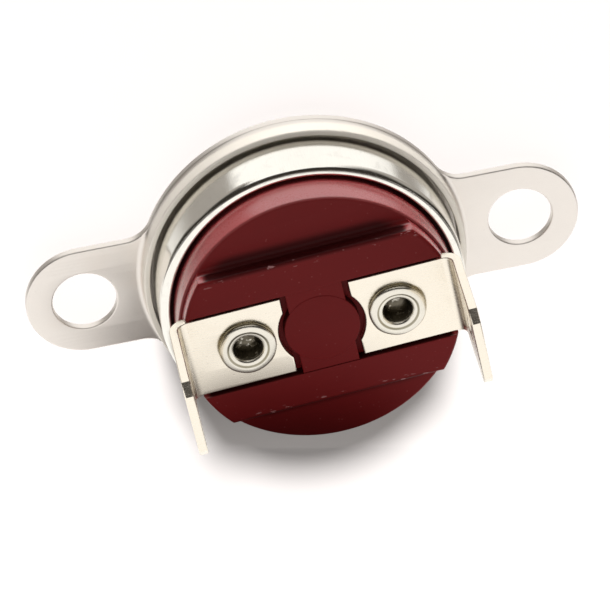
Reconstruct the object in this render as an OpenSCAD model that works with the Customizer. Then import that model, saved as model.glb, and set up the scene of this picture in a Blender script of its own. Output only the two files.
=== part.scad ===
// Limit switch with a bimetal disc, in a loose two-eared bracket.
// Millimetres. The origin is the centre of the sensing face, +Z points out along the terminals
// and +X runs through the two ear holes. Everything but the bracket is turned about Z by switch_turn.

/* [Sensing cup] */
// Outer diameter of the drawn aluminium cup
cup_d = 16.6; // [16.3:0.1:17.2]
// Thickness of the cup's sheet
cup_t = 0.35; // [0.3:0.05:0.45]
// Outside radius round the edge of the sensing face
cup_corner_r = 0.9; // [0.6:0.1:1.2]
// Height of the cup, from the sensing face to the top of its crimped lip
cup_h = 5.9; // [5.5:0.05:6.5]
// Outside radius of the bend from the wall into the lip
lip_bend_r = 0.45; // [0.4:0.05:0.5]
// Angle at which the lip rises towards its inner edge
lip_slope = 25; // [5:5:35]
// Width of the crimped lip, from the cup's wall to the lip's edge
lip_w = 0.6; // [0.55:0.05:0.8]
// Depth of the rolled groove that carries the bracket
groove_depth = 0.35; // [0.3:0.05:0.45]

/* [Bracket] */
// Distance between the centres of the two ear holes
ear_pitch = 24; // [22.5:0.5:27]
// Diameter of an ear hole
ear_hole_d = 3.5; // [3:0.1:4]
// Width of an ear, and the diameter of its round end
ear_w = 6.4; // [5.8:0.1:7.4]
// Radius of the hollow corners where the ears leave the ring
ear_fillet_r = 1.6; // [0.8:0.1:2.4]
// Thickness of the bracket's sheet
bracket_t = 0.45; // [0.4:0.05:0.8]
// Height of the bracket's underside above the sensing face
bracket_z = 1.45; // [1.3:0.05:1.8]
// Width of the flat ledge round the collar, to the ring's cut edge
ring_ledge = 0.05; // [0.05:0.05:0.4]
// Height of the raised collar above the ears
collar_h = 1.1; // [0.7:0.1:1.4]
// Width of the collar's section
collar_w = 0.35; // [0.3:0.05:0.7]
// Radius of the hollow corner at the collar's foot
collar_foot_r = 0.3; // [0.15:0.05:0.4]
// Gap between the collar and the cup's wall
collar_gap = 0.15; // [0.1:0.05:0.3]
// Radial clearance of the bracket's inner lip in the cup's groove
bracket_play = 0.1; // [0.05:0.01:0.2]

/* [Moulded body] */
// Gap between the crimped lip's edge and the body
lip_gap = 0.1; // [0.1:0.05:0.25]
// Height of the half-moon steps above the lip
step_h = 1.9; // [1.6:0.1:2.6]
// Height of the cross bar above the half-moon steps
bar_h = 0.9; // [0.8:0.1:1.4]
// Width of the cross bar
bar_w = 9.3; // [7.6:0.1:9.8]
// Step from the body's side in to the round ends of the cross bar
bar_inset = 0.15; // [0.1:0.05:0.5]
// Radius on the body's outer edges
body_edge_r = 0.2; // [0.15:0.05:0.4]
// Radius of the hollow corner at the foot of the bar
bar_foot_r = 0.3; // [0.1:0.05:0.5]
// Width of the land between the two terminal pockets
land_w = 3.1; // [2.6:0.1:3.4]
// Diameter of the round boss in the middle of the land
boss_d = 4.1; // [3.6:0.1:4.3]
// How far the land and boss lie below the bar's top
land_drop = 0.06; // [0.02:0.01:0.12]
// Thickness of the body between a half-moon step and the contact chamber
roof_t = 1.35; // [1.1:0.05:1.5]
// Wall of the body round the contact chamber
chamber_wall = 1; // [0.8:0.1:1.2]
// Width of the contact chamber across its flats
chamber_w = 7; // [5:0.5:8]
// Angle by which the switch is turned in its bracket
switch_turn = 4; // [0:1:90]

/* [Terminals and rivets] */
// Width of a terminal, plate and tab alike
terminal_w = 4.8; // [4.6:0.1:5.2]
// Thickness of the terminals' sheet
terminal_t = 0.5; // [0.4:0.1:0.8]
// Distance over the outer faces of the two tabs
terminal_span = 15.9; // [15.3:0.1:16.6]
// Height of a tab above its plate
tab_h = 5.8; // [4.5:0.1:8]
// Length of the chamfers on a tab's corners
tab_chamfer = 0.6; // [0.3:0.1:1]
// Diameter of the detent hole in a tab
tab_hole_d = 1.4; // [1:0.1:1.8]
// Distance from a tab's tip to the centre of its hole
tab_hole_inset = 2.2; // [1.8:0.1:2.6]
// Inside radius of the bend between plate and tab
terminal_bend_r = 0.5; // [0.3:0.1:0.8]
// Gap between a terminal's sides and its pocket
terminal_side_gap = 0.15; // [0.1:0.05:0.25]
// Gap between a terminal's inner end and its pocket
terminal_end_gap = 0.3; // [0.2:0.05:0.4]
// How far a terminal's plate lies below the bar's top
terminal_recess = 0.1; // [0:0.05:0.2]
// Distance between the two rivets
rivet_pitch = 8.2; // [7.8:0.1:8.4]
// Diameter of a rivet's shank
rivet_d = 1.9; // [1.7:0.05:2.1]
// Clearance round a rivet's shank
rivet_play = 0.05; // [0.03:0.01:0.1]
// Diameter of a rivet's rolled rim
rivet_rim_d = 3.15; // [2.8:0.05:3.3]
// Height of a rivet's rolled rim above the plate
rivet_rim_h = 0.42; // [0.3:0.02:0.6]
// Radius round the outside of a rivet's rolled rim
rivet_roll_r = 0.25; // [0.15:0.05:0.3]
// Diameter of the hollow in a rivet's end
rivet_bore_d = 1.5; // [1.2:0.05:1.6]
// Depth of the hollow in a rivet's end
rivet_bore_depth = 1.5; // [0.8:0.1:2]
// Diameter of a rivet's flat head in the chamber
rivet_head_d = 2.9; // [2.6:0.1:3]
// Height of a rivet's flat head
rivet_head_h = 0.5; // [0.4:0.1:0.6]

/* [Contacts] */
// Thickness of the contact spring
spring_t = 0.2; // [0.15:0.05:0.25]
// Width of the contact spring
spring_w = 2.6; // [2:0.1:3]
// Distance from the axis to the start of the spring's level stretch
spring_knee_x = 1.3; // [1.1:0.1:1.6]
// Drop from the chamber's roof to the top of the spring's working stretch
spring_drop = 2; // [1.8:0.1:2.2]
// Distance of the contacts from the switch's axis
contact_x = 3.6; // [3.2:0.1:3.8]
// Diameter of the moving contact
moving_contact_d = 2; // [1.6:0.1:2.2]
// Height of the moving contact below its spring
moving_contact_h = 0.5; // [0.4:0.1:0.6]
// Diameter of the fixed contact
fixed_contact_d = 2.2; // [1.8:0.1:2.4]
// Height of the fixed contact above its carrier
fixed_contact_h = 0.48; // [0.4:0.02:0.6]
// Diameter of the stems that hold both contacts
contact_stem_d = 1; // [0.8:0.1:1.2]
// Diameter of the closed end of a contact's stem
stem_cap_d = 1.2; // [1:0.1:1.5]
// Height of the closed end of a contact's stem
stem_cap_h = 0.12; // [0.08:0.02:0.2]
// Thickness of the fixed contact's carrier
carrier_t = 0.3; // [0.2:0.05:0.35]
// Width of the fixed contact's carrier
carrier_w = 3; // [2.4:0.1:3.2]
// Gap between the fixed rivet's head and the leg of the carrier
carrier_leg_gap = 0.1; // [0.05:0.05:0.2]
// Air left between parts that only touch
touch_gap = 0.02; // [0.01:0.01:0.04]

/* [Disc, guide and pin] */
// Thickness of the bimetal disc
disc_t = 0.2; // [0.15:0.05:0.25]
// Height of the disc's dome
disc_dome = 0.2; // [0.15:0.05:0.3]
// Radial clearance of the disc in the guide's skirt
disc_room = 0.15; // [0.1:0.05:0.25]
// Clearance between the disc's edge and the guide's ledge
disc_lift = 0.08; // [0.04:0.02:0.12]
// Diameter of the transfer pin
pin_d = 2; // [1.6:0.1:2.4]
// Height of the crown on the pin's tip
pin_crown_h = 0.35; // [0.2:0.05:0.5]
// Chamfer round the pin's foot
pin_chamfer = 0.12; // [0.05:0.01:0.2]
// Radial clearance of the pin in its guide
pin_play = 0.04; // [0.02:0.01:0.08]
// Thickness of the guide's web
guide_web = 0.95; // [0.7:0.05:1.1]
// Length of the guide's hub along the pin
guide_hub_h = 1.2; // [1:0.1:1.4]
// Wall of the hub round the pin
guide_hub_wall = 0.8; // [0.5:0.1:1.2]
// Thickness of the guide's skirt round the disc
guide_skirt_t = 1; // [0.8:0.1:1.2]
// Width of the guide's ledge over the disc's edge
guide_ledge_w = 0.7; // [0.5:0.1:1]
// Chamfer round the guide's foot
guide_chamfer = 0.35; // [0.3:0.05:0.5]
// Clearance of the guide and the body inside the cup
seat_gap = 0.05; // [0.03:0.01:0.08]

/* [Hidden] */
$fn = 96;

// Cup and groove
cup_r = cup_d / 2;
cup_inner_r = cup_r - cup_t;
groove_r = cup_r - groove_depth;
neck_inner_r = groove_r - cup_t;
corner_flat = 0.05;
groove_z0 = bracket_z - groove_depth;
groove_z1 = bracket_z + bracket_t + groove_depth;
fold_shift = cup_t * tan(22.5);
corner_r = min(cup_corner_r, groove_z0 - fold_shift - corner_flat);
lip_r = cup_r - lip_w;
lip_edge_r = cup_t / 2;
lip_edge_x = lip_r + lip_edge_r;
lip_edge_z = cup_h - lip_edge_r;
lip_bend_x = cup_r - lip_bend_r;
lip_rise = (lip_bend_r - lip_edge_r - (lip_edge_x - lip_bend_x) * sin(lip_slope)) / cos(lip_slope);
lip_bend_z = lip_edge_z - lip_rise;

// Bracket
bracket_top = bracket_z + bracket_t;
bracket_bore_r = groove_r + bracket_play;
collar_bore_r = cup_r + collar_gap;
collar_r = collar_bore_r + collar_w;
ring_r = collar_r + ring_ledge;
collar_top = bracket_top + collar_h;
ear_x = ear_pitch / 2;

// Body: radii, then levels from the lip upwards
body_r = lip_r - lip_gap;
bar_r = body_r - bar_inset;
chamber_r = body_r - chamber_wall;
body_z0 = groove_z1 + fold_shift + seat_gap;
step_z = cup_h + step_h;
bar_z = step_z + bar_h;
land_z = bar_z - land_drop;
plate_z = bar_z - terminal_recess - terminal_t;
plate_top = plate_z + terminal_t;
tab_tip_z = plate_top + tab_h;
roof_z = step_z - roof_t;
rivet_x = rivet_pitch / 2;
pocket_w = terminal_w + 2 * terminal_side_gap;

// Contacts, from the roof downwards
spring_z = roof_z - spring_drop - spring_t;
spring_head_edge = rivet_x - rivet_head_d / 2;
spring_tip_x = contact_x + moving_contact_d / 2;
moving_contact_z = spring_z - moving_contact_h;
carrier_top = moving_contact_z - touch_gap - fixed_contact_h;
carrier_leg_x = rivet_x + rivet_head_d / 2 + carrier_leg_gap;

// Guide, disc and pin
guide_r = neck_inner_r - 2 * seat_gap;
guide_top = body_z0 - seat_gap;
guide_skirt_z = cup_t + seat_gap;
skirt_r = guide_r - guide_skirt_t;
disc_r = skirt_r - disc_room;
disc_low_z = cup_t + touch_gap;
disc_edge_top = disc_low_z + disc_dome + disc_t;
disc_sphere_r = (disc_r * disc_r + disc_dome * disc_dome) / (2 * disc_dome);
pin_r = pin_d / 2;
pin_low_z = disc_low_z + disc_t + touch_gap;
pin_tip_z = spring_z - touch_gap;

// Length by which a cutter runs past the face that it cuts
past = 0.5;

// Points on an arc about (x, z), from angle a0 to a1
function arc(x, z, r, a0, a1, steps = 8) =
    [for (i = [0:steps]) let (a = a0 + (a1 - a0) * i / steps) [x + r * cos(a), z + r * sin(a)]];

// A piece of the switch, turned with it in the bracket
module switch_frame() {
    rotate([0, 0, switch_turn]) children();
}

// A profile in X and Z, stretched evenly to both sides of the XZ plane
module across(width) {
    translate([0, width / 2, 0]) rotate([90, 0, 0]) linear_extrude(width) children();
}

// Drawn cup: flat sensing face, rolled groove and a lip crimped inwards
module sensing_cup() {
    lip_end = 90 - lip_slope;
    outside = concat(
        [[0, 0]],
        arc(cup_r - corner_r, corner_r, corner_r, -90, 0),
        [[cup_r, groove_z0], [groove_r, groove_z0 + groove_depth]],
        [[groove_r, groove_z1 - groove_depth], [cup_r, groove_z1]],
        arc(lip_bend_x, lip_bend_z, lip_bend_r, 0, lip_end),
        arc(lip_edge_x, lip_edge_z, lip_edge_r, lip_end, lip_end + 180));
    inside = concat(
        arc(lip_bend_x, lip_bend_z, lip_bend_r - cup_t, lip_end, 0),
        [[cup_inner_r, groove_z1 + fold_shift], [neck_inner_r, groove_z1 - groove_depth + fold_shift]],
        [[neck_inner_r, groove_z0 + groove_depth - fold_shift], [cup_inner_r, groove_z0 - fold_shift]],
        arc(cup_r - corner_r, corner_r, corner_r - cup_t, 0, -90),
        [[0, cup_t]]);
    color("gainsboro") rotate_extrude() polygon(concat(outside, inside));
}

// One quarter of the hollow corner between an ear and the ring
module ear_corner() {
    centre = [sqrt(pow(ring_r + ear_fillet_r, 2) - pow(ear_w / 2 + ear_fillet_r, 2)),
        ear_w / 2 + ear_fillet_r];
    difference() {
        polygon([[0, 0], [centre[0], 0], centre]);
        translate(centre) circle(ear_fillet_r);
    }
}

// Outline of the bracket's blank: ring, two ears and their hollow corners
module bracket_blank() {
    circle(ring_r);
    square([ear_pitch, ear_w], center = true);
    for (side = [-1, 1]) {
        translate([side * ear_x, 0]) circle(ear_w / 2);
        for (edge = [-1, 1]) scale([side, edge]) ear_corner();
    }
}

// Raised collar with a rounded top and a hollow corner at its foot
module collar() {
    crown_r = collar_w / 2;
    rotate_extrude() polygon(concat(
        [[collar_bore_r, bracket_z]],
        arc(collar_bore_r + crown_r, collar_top - crown_r, crown_r, 180, 0),
        arc(collar_r + collar_foot_r, bracket_top + collar_foot_r, collar_foot_r, 180, 270),
        [[collar_r + collar_foot_r, bracket_z]]));
}

// Stamped bracket: two ears on a ring whose inner lip runs in the cup's groove
module mounting_bracket() {
    color("lightgray") difference() {
        union() {
            translate([0, 0, bracket_z]) linear_extrude(bracket_t) bracket_blank();
            intersection() {
                collar();
                linear_extrude(collar_top + past) bracket_blank();
            }
        }
        translate([0, 0, bracket_z - past]) cylinder(h = bracket_t + past, r = bracket_bore_r);
        translate([0, 0, bracket_top - touch_gap]) cylinder(h = collar_h + past, r = collar_bore_r);
        for (side = [-1, 1])
            translate([side * ear_x, 0, bracket_z - past])
                cylinder(h = bracket_t + 2 * past, d = ear_hole_d);
    }
}

// Round part of the body: shoulder under the lip and drum up to the half-moon steps
module body_drum() {
    shoulder_r = cup_inner_r - seat_gap;
    shoulder_edge_r = shoulder_r - lip_bend_x;
    rotate_extrude() polygon(concat(
        [[0, body_z0], [shoulder_r, body_z0]],
        arc(lip_bend_x, lip_bend_z, shoulder_edge_r, 0, 90),
        [[body_r, lip_bend_z + shoulder_edge_r]],
        arc(body_r - body_edge_r, step_z - body_edge_r, body_edge_r, 0, 90),
        [[0, step_z]]));
}

// Cross bar: a rounded strip cut to round ends, on hollow corners
module body_bar() {
    half = bar_w / 2;
    foot = half + bar_foot_r;
    side = concat(
        arc(foot, step_z + bar_foot_r, bar_foot_r, 270, 180),
        arc(half - body_edge_r, bar_z - body_edge_r, body_edge_r, 0, 90));
    other = [for (i = [len(side) - 1:-1:0]) [-side[i][0], side[i][1]]];
    intersection() {
        rotate([0, 0, 90]) across(2 * bar_r)
            polygon(concat([[foot, step_z - past]], side, other, [[-foot, step_z - past]]));
        rotate_extrude() polygon(concat(
            [[0, step_z - past], [bar_r, step_z - past]],
            arc(bar_r - body_edge_r, bar_z - body_edge_r, body_edge_r, 0, 90),
            [[0, bar_z]]));
    }
}

// Pocket that takes one terminal's plate, open at the bar's end
module terminal_pocket() {
    difference() {
        translate([land_w / 2, -pocket_w / 2, plate_z]) cube([body_r, pocket_w, bar_h]);
        translate([0, 0, plate_z - past]) cylinder(h = bar_h + 2 * past, d = boss_d);
    }
}

// Moulded body with its bar, pockets, rivet holes and contact chamber
module switch_body() {
    color("firebrick") switch_frame() difference() {
        union() {
            body_drum();
            body_bar();
        }
        for (side = [0, 180]) rotate([0, 0, side]) {
            terminal_pocket();
            translate([rivet_x, 0, roof_z - past])
                cylinder(h = bar_z - roof_z + 2 * past, r = rivet_d / 2 + rivet_play);
        }
        translate([0, 0, land_z]) intersection() {
            cylinder(h = past, d = boss_d);
            translate([-boss_d / 2, -pocket_w / 2, 0]) cube([boss_d, pocket_w, past]);
        }
        translate([-land_w / 2, -pocket_w / 2, land_z]) cube([land_w, pocket_w, past]);
        intersection() {
            translate([0, 0, body_z0 - past]) cylinder(h = roof_z - body_z0 + past, r = chamber_r);
            translate([-chamber_r, -chamber_w / 2, body_z0 - past])
                cube([2 * chamber_r, chamber_w, roof_z - body_z0 + past]);
        }
    }
}

// Terminal of one folded strip: plate, bend and tab
module terminal() {
    face_x = terminal_span / 2;
    bend_x = face_x - terminal_t - terminal_bend_r;
    bend_z = plate_top + terminal_bend_r;
    plate_end = land_w / 2 + terminal_end_gap;
    difference() {
        across(terminal_w) polygon(concat(
            [[plate_end, plate_z]],
            arc(bend_x, bend_z, terminal_bend_r + terminal_t, -90, 0),
            [[face_x, tab_tip_z], [face_x - terminal_t, tab_tip_z]],
            arc(bend_x, bend_z, terminal_bend_r, 0, -90),
            [[plate_end, plate_top]]));
        translate([0, 0, plate_z - past])
            cylinder(h = terminal_t + 2 * past, r = boss_d / 2 + terminal_end_gap);
        translate([rivet_x, 0, plate_z - past])
            cylinder(h = terminal_t + 2 * past, r = rivet_d / 2 + rivet_play);
        translate([bend_x, 0, tab_tip_z - tab_hole_inset])
            rotate([0, 90, 0]) cylinder(h = terminal_bend_r + terminal_t + past, d = tab_hole_d);
        for (side = [-1, 1])
            translate([face_x, side * terminal_w / 2, tab_tip_z]) rotate([45, 0, 0])
                cube([2 * (terminal_t + past), tab_chamfer * sqrt(2), tab_chamfer * sqrt(2)],
                    center = true);
    }
}

// Terminal that feeds the fixed contact
module fixed_terminal() {
    color("whitesmoke") switch_frame() terminal();
}

// Terminal that feeds the moving contact
module moving_terminal() {
    color("whitesmoke") switch_frame() rotate([0, 0, 180]) terminal();
}

// Semi-tubular rivet: flat head below, shank, and a hollow end rolled over the plate
module rivet(clamped_t) {
    head_top = roof_z - clamped_t;
    shank_r = rivet_d / 2;
    bore_r = rivet_bore_d / 2;
    rim_r = rivet_rim_d / 2;
    rim_top = plate_top + rivet_rim_h;
    mouth_r = (rim_r + bore_r - rivet_roll_r) / 2;
    translate([rivet_x, 0, 0]) rotate_extrude() polygon(concat(
        [[0, head_top - rivet_head_h], [rivet_head_d / 2, head_top - rivet_head_h]],
        [[rivet_head_d / 2, head_top], [shank_r, head_top], [shank_r, plate_top]],
        [[rim_r, plate_top]],
        arc(rim_r - rivet_roll_r, rim_top - rivet_roll_r, rivet_roll_r, 0, 90),
        arc(mouth_r, rim_top - (mouth_r - bore_r), mouth_r - bore_r, 90, 180, 4),
        [[bore_r, rim_top - rivet_bore_depth + bore_r / 2], [bore_r / 2, rim_top - rivet_bore_depth]],
        [[0, rim_top - rivet_bore_depth]]));
}

// Rivet through the fixed terminal and the contact carrier
module fixed_rivet() {
    color("silver") switch_frame() rivet(carrier_t);
}

// Rivet through the moving terminal and the contact spring
module moving_rivet() {
    color("silver") switch_frame() rotate([0, 0, 180]) rivet(spring_t);
}

// Leaf spring: a foot under the roof, a slope and a level stretch over the pin
module contact_spring() {
    foot_end = -rivet_x - rivet_head_d / 2;
    slope_end = -spring_knee_x;
    color("peru") switch_frame() difference() {
        across(spring_w) polygon([
            [foot_end, roof_z], [foot_end, roof_z - spring_t],
            [-spring_head_edge, roof_z - spring_t], [slope_end - spring_t, spring_z],
            [spring_tip_x, spring_z], [spring_tip_x, spring_z + spring_t],
            [slope_end, spring_z + spring_t], [-spring_head_edge + spring_t, roof_z]]);
        translate([-rivet_x, 0, roof_z - past])
            cylinder(h = 2 * past, r = rivet_d / 2 + rivet_play);
        translate([contact_x, 0, spring_z - past])
            cylinder(h = spring_t + 2 * past, d = contact_stem_d + 2 * touch_gap);
    }
}

// Riveted contact button: disc, stem and the small head that closes it
module contact_button(d, h, sheet_t) {
    cylinder(h = h, d = d);
    cylinder(h = h + sheet_t, d = contact_stem_d);
    translate([0, 0, h + sheet_t]) cylinder(h = stem_cap_h, d = stem_cap_d);
}

// Silver button below the spring's free end
module moving_contact() {
    color("silver") switch_frame() translate([contact_x, 0, moving_contact_z])
        contact_button(moving_contact_d, moving_contact_h, spring_t);
}

// Silver button that stands on the carrier
module fixed_contact() {
    color("silver") switch_frame() translate([contact_x, 0, carrier_top + fixed_contact_h])
        mirror([0, 0, 1]) contact_button(fixed_contact_d, fixed_contact_h, carrier_t);
}

// Carrier of the fixed contact, folded under the roof and back below the spring
module contact_carrier() {
    foot_start = rivet_x - rivet_head_d / 2;
    shelf_start = contact_x - fixed_contact_d / 2;
    leg_out = carrier_leg_x + carrier_t;
    color("goldenrod") switch_frame() difference() {
        across(carrier_w) polygon([
            [foot_start, roof_z], [leg_out, roof_z], [leg_out, carrier_top - carrier_t],
            [shelf_start, carrier_top - carrier_t], [shelf_start, carrier_top],
            [carrier_leg_x, carrier_top], [carrier_leg_x, roof_z - carrier_t],
            [foot_start, roof_z - carrier_t]]);
        translate([rivet_x, 0, roof_z - past]) cylinder(h = 2 * past, r = rivet_d / 2 + rivet_play);
        translate([contact_x, 0, carrier_top - carrier_t - past])
            cylinder(h = carrier_t + 2 * past, d = contact_stem_d + 2 * touch_gap);
    }
}

// Ceramic pin with a crowned tip, from the disc up to the spring
module transfer_pin() {
    crown_r = (pin_r * pin_r + pin_crown_h * pin_crown_h) / (2 * pin_crown_h);
    crown_angle = acos(pin_r / crown_r);
    color("ivory") rotate_extrude() polygon(concat(
        [[0, pin_low_z], [pin_r - pin_chamfer, pin_low_z], [pin_r, pin_low_z + pin_chamfer]],
        arc(0, pin_tip_z - crown_r, crown_r, crown_angle, 90)));
}

// Guide plate: skirt on the cup's floor, ledge over the disc's edge, web and hub
module pin_guide() {
    ledge_z = disc_edge_top + disc_lift;
    web_z = guide_top - guide_web;
    hub_r = pin_r + pin_play + guide_hub_wall;
    bore_r = pin_r + pin_play;
    color("saddlebrown") rotate_extrude() polygon([
        [skirt_r, guide_skirt_z], [guide_r - guide_chamfer, guide_skirt_z],
        [guide_r, guide_skirt_z + guide_chamfer], [guide_r, guide_top], [bore_r, guide_top],
        [bore_r, guide_top - guide_hub_h], [hub_r, guide_top - guide_hub_h], [hub_r, web_z],
        [skirt_r - guide_ledge_w, web_z], [skirt_r - guide_ledge_w, ledge_z], [skirt_r, ledge_z]]);
}

// Bimetal disc, bowed towards the sensing face while it is cool
module snap_disc() {
    half_angle = asin(disc_r / disc_sphere_r);
    centre_z = disc_low_z + disc_sphere_r;
    color("rosybrown") rotate_extrude() polygon(concat(
        arc(0, centre_z, disc_sphere_r, -90, half_angle - 90),
        arc(0, centre_z, disc_sphere_r - disc_t, half_angle - 90, -90)));
}

sensing_cup();
mounting_bracket();
switch_body();
fixed_terminal();
moving_terminal();
fixed_rivet();
moving_rivet();
contact_spring();
moving_contact();
fixed_contact();
contact_carrier();
transfer_pin();
pin_guide();
snap_disc();
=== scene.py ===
"""Looks of a round bimetal limit switch with blade terminals and a loose two-eared bracket.

Lengths in the classes are in millimetres, in the frame of the solids: the sensing face lies on
z = 0, +Z points out along the terminals and +X runs through the two ear holes.
"""
import logging
import math
from collections.abc import Callable, Sequence
from dataclasses import dataclass
from enum import Enum

import bmesh
import bpy
from mathutils import Matrix, Vector, geometry


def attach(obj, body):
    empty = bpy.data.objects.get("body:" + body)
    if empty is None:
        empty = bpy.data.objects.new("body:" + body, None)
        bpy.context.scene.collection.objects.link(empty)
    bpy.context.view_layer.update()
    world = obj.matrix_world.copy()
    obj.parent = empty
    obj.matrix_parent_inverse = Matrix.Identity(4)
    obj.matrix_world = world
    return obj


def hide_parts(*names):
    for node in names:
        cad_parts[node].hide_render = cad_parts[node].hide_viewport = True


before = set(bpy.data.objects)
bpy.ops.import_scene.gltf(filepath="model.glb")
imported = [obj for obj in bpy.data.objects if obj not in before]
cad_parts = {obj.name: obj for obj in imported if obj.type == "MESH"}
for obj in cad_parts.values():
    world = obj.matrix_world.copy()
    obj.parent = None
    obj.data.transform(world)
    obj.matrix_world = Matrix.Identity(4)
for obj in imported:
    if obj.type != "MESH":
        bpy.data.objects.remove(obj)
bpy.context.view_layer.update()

LOG = logging.getLogger("limit_switch")
MM = 0.001

Flat = tuple[float, float]
Point = tuple[float, float, float]
Colour = tuple[float, float, float]
Rim = Sequence[Flat]


@dataclass(frozen=True)
class Levels:
    """Heights above the sensing face that the sub-assemblies share, each from those below it."""

    bracket: float = 1.45
    sheet: float = 0.45
    groove_depth: float = 0.35
    collar_h: float = 1.1
    lip: float = 5.9
    step_h: float = 1.9
    bar_h: float = 0.9
    land_drop: float = 0.06
    plate_drop: float = 0.1
    strip: float = 0.5
    tab_h: float = 5.8
    roof_t: float = 1.35

    @property
    def bracket_top(self) -> float:
        """Gives the upper face of the bracket's sheet."""
        return self.bracket + self.sheet

    @property
    def collar(self) -> float:
        """Gives the top of the bracket's collar."""
        return self.bracket_top + self.collar_h

    @property
    def groove_low(self) -> float:
        """Gives where the cup's groove begins."""
        return self.bracket - self.groove_depth

    @property
    def groove_high(self) -> float:
        """Gives where the cup's groove ends."""
        return self.bracket_top + self.groove_depth

    @property
    def step(self) -> float:
        """Gives the half-moon steps."""
        return self.lip + self.step_h

    @property
    def bar(self) -> float:
        """Gives the top of the cross bar."""
        return self.step + self.bar_h

    @property
    def land(self) -> float:
        """Gives the land between the terminals."""
        return self.bar - self.land_drop

    @property
    def plate(self) -> float:
        """Gives the upper face of the terminals' plates."""
        return self.bar - self.plate_drop

    @property
    def pocket(self) -> float:
        """Gives the floor of the terminals' pockets."""
        return self.plate - self.strip

    @property
    def tip(self) -> float:
        """Gives the tabs' tips."""
        return self.plate + self.tab_h

    @property
    def roof(self) -> float:
        """Gives the roof of the contact chamber."""
        return self.step - self.roof_t


@dataclass(frozen=True)
class Plan:
    """Sizes seen from above that the sub-assemblies and their finishes share."""

    turn: float = 4.0
    cup_r: float = 8.3
    collar_bore_r: float = 8.45
    body_r: float = 7.6
    bar_r: float = 7.45
    bar_half: float = 4.65
    rivet_x: float = 4.1
    rivet_hole_r: float = 1.0


LEVELS = Levels()
PLAN = Plan()


class Channel:
    """A node's output that adds Math nodes where Python operators meet it."""

    def __init__(self, paint: "Paint", socket: bpy.types.NodeSocket | None) -> None:
        """Keeps the paint that owns the node, and the socket."""
        self.paint = paint
        self.socket = socket

    def __add__(self, other: "Channel | float") -> "Channel":
        """Sum."""
        return self.paint.maths("ADD", self, other)

    __radd__ = __add__

    def __sub__(self, other: "Channel | float") -> "Channel":
        """Difference."""
        return self.paint.maths("SUBTRACT", self, other)

    def __rsub__(self, other: float) -> "Channel":
        """Difference from a number."""
        return self.paint.maths("SUBTRACT", other, self)

    def __mul__(self, other: "Channel | float") -> "Channel":
        """Product."""
        return self.paint.maths("MULTIPLY", self, other)

    __rmul__ = __mul__

    def __truediv__(self, other: "Channel | float") -> "Channel":
        """Quotient."""
        return self.paint.maths("DIVIDE", self, other)

    def __rtruediv__(self, other: float) -> "Channel":
        """Quotient of a number by it."""
        return self.paint.maths("DIVIDE", other, self)

    def __pow__(self, other: "Channel | float") -> "Channel":
        """Power."""
        return self.paint.maths("POWER", self, other)

    def __rpow__(self, other: float) -> "Channel":
        """Power of a number."""
        return self.paint.maths("POWER", other, self)

    def __abs__(self) -> "Channel":
        """Size without sign."""
        return self.paint.maths("ABSOLUTE", self)

    def ramp(self, low: float, high: float) -> "Channel":
        """Goes smoothly from 0 at low to 1 at high.

        Args:
            low: Value at which the result is 0; it may be above high.
            high: Value at which the result is 1.

        Returns:
            The smooth step.
        """
        if low > high:
            return 1.0 - self.ramp(high, low)
        return self.paint.add("ShaderNodeMapRange", {"interpolation_type": "SMOOTHSTEP"},
            {"Value": self, "From Min": low, "From Max": high, "To Min": 0.0, "To Max": 1.0})


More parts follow.
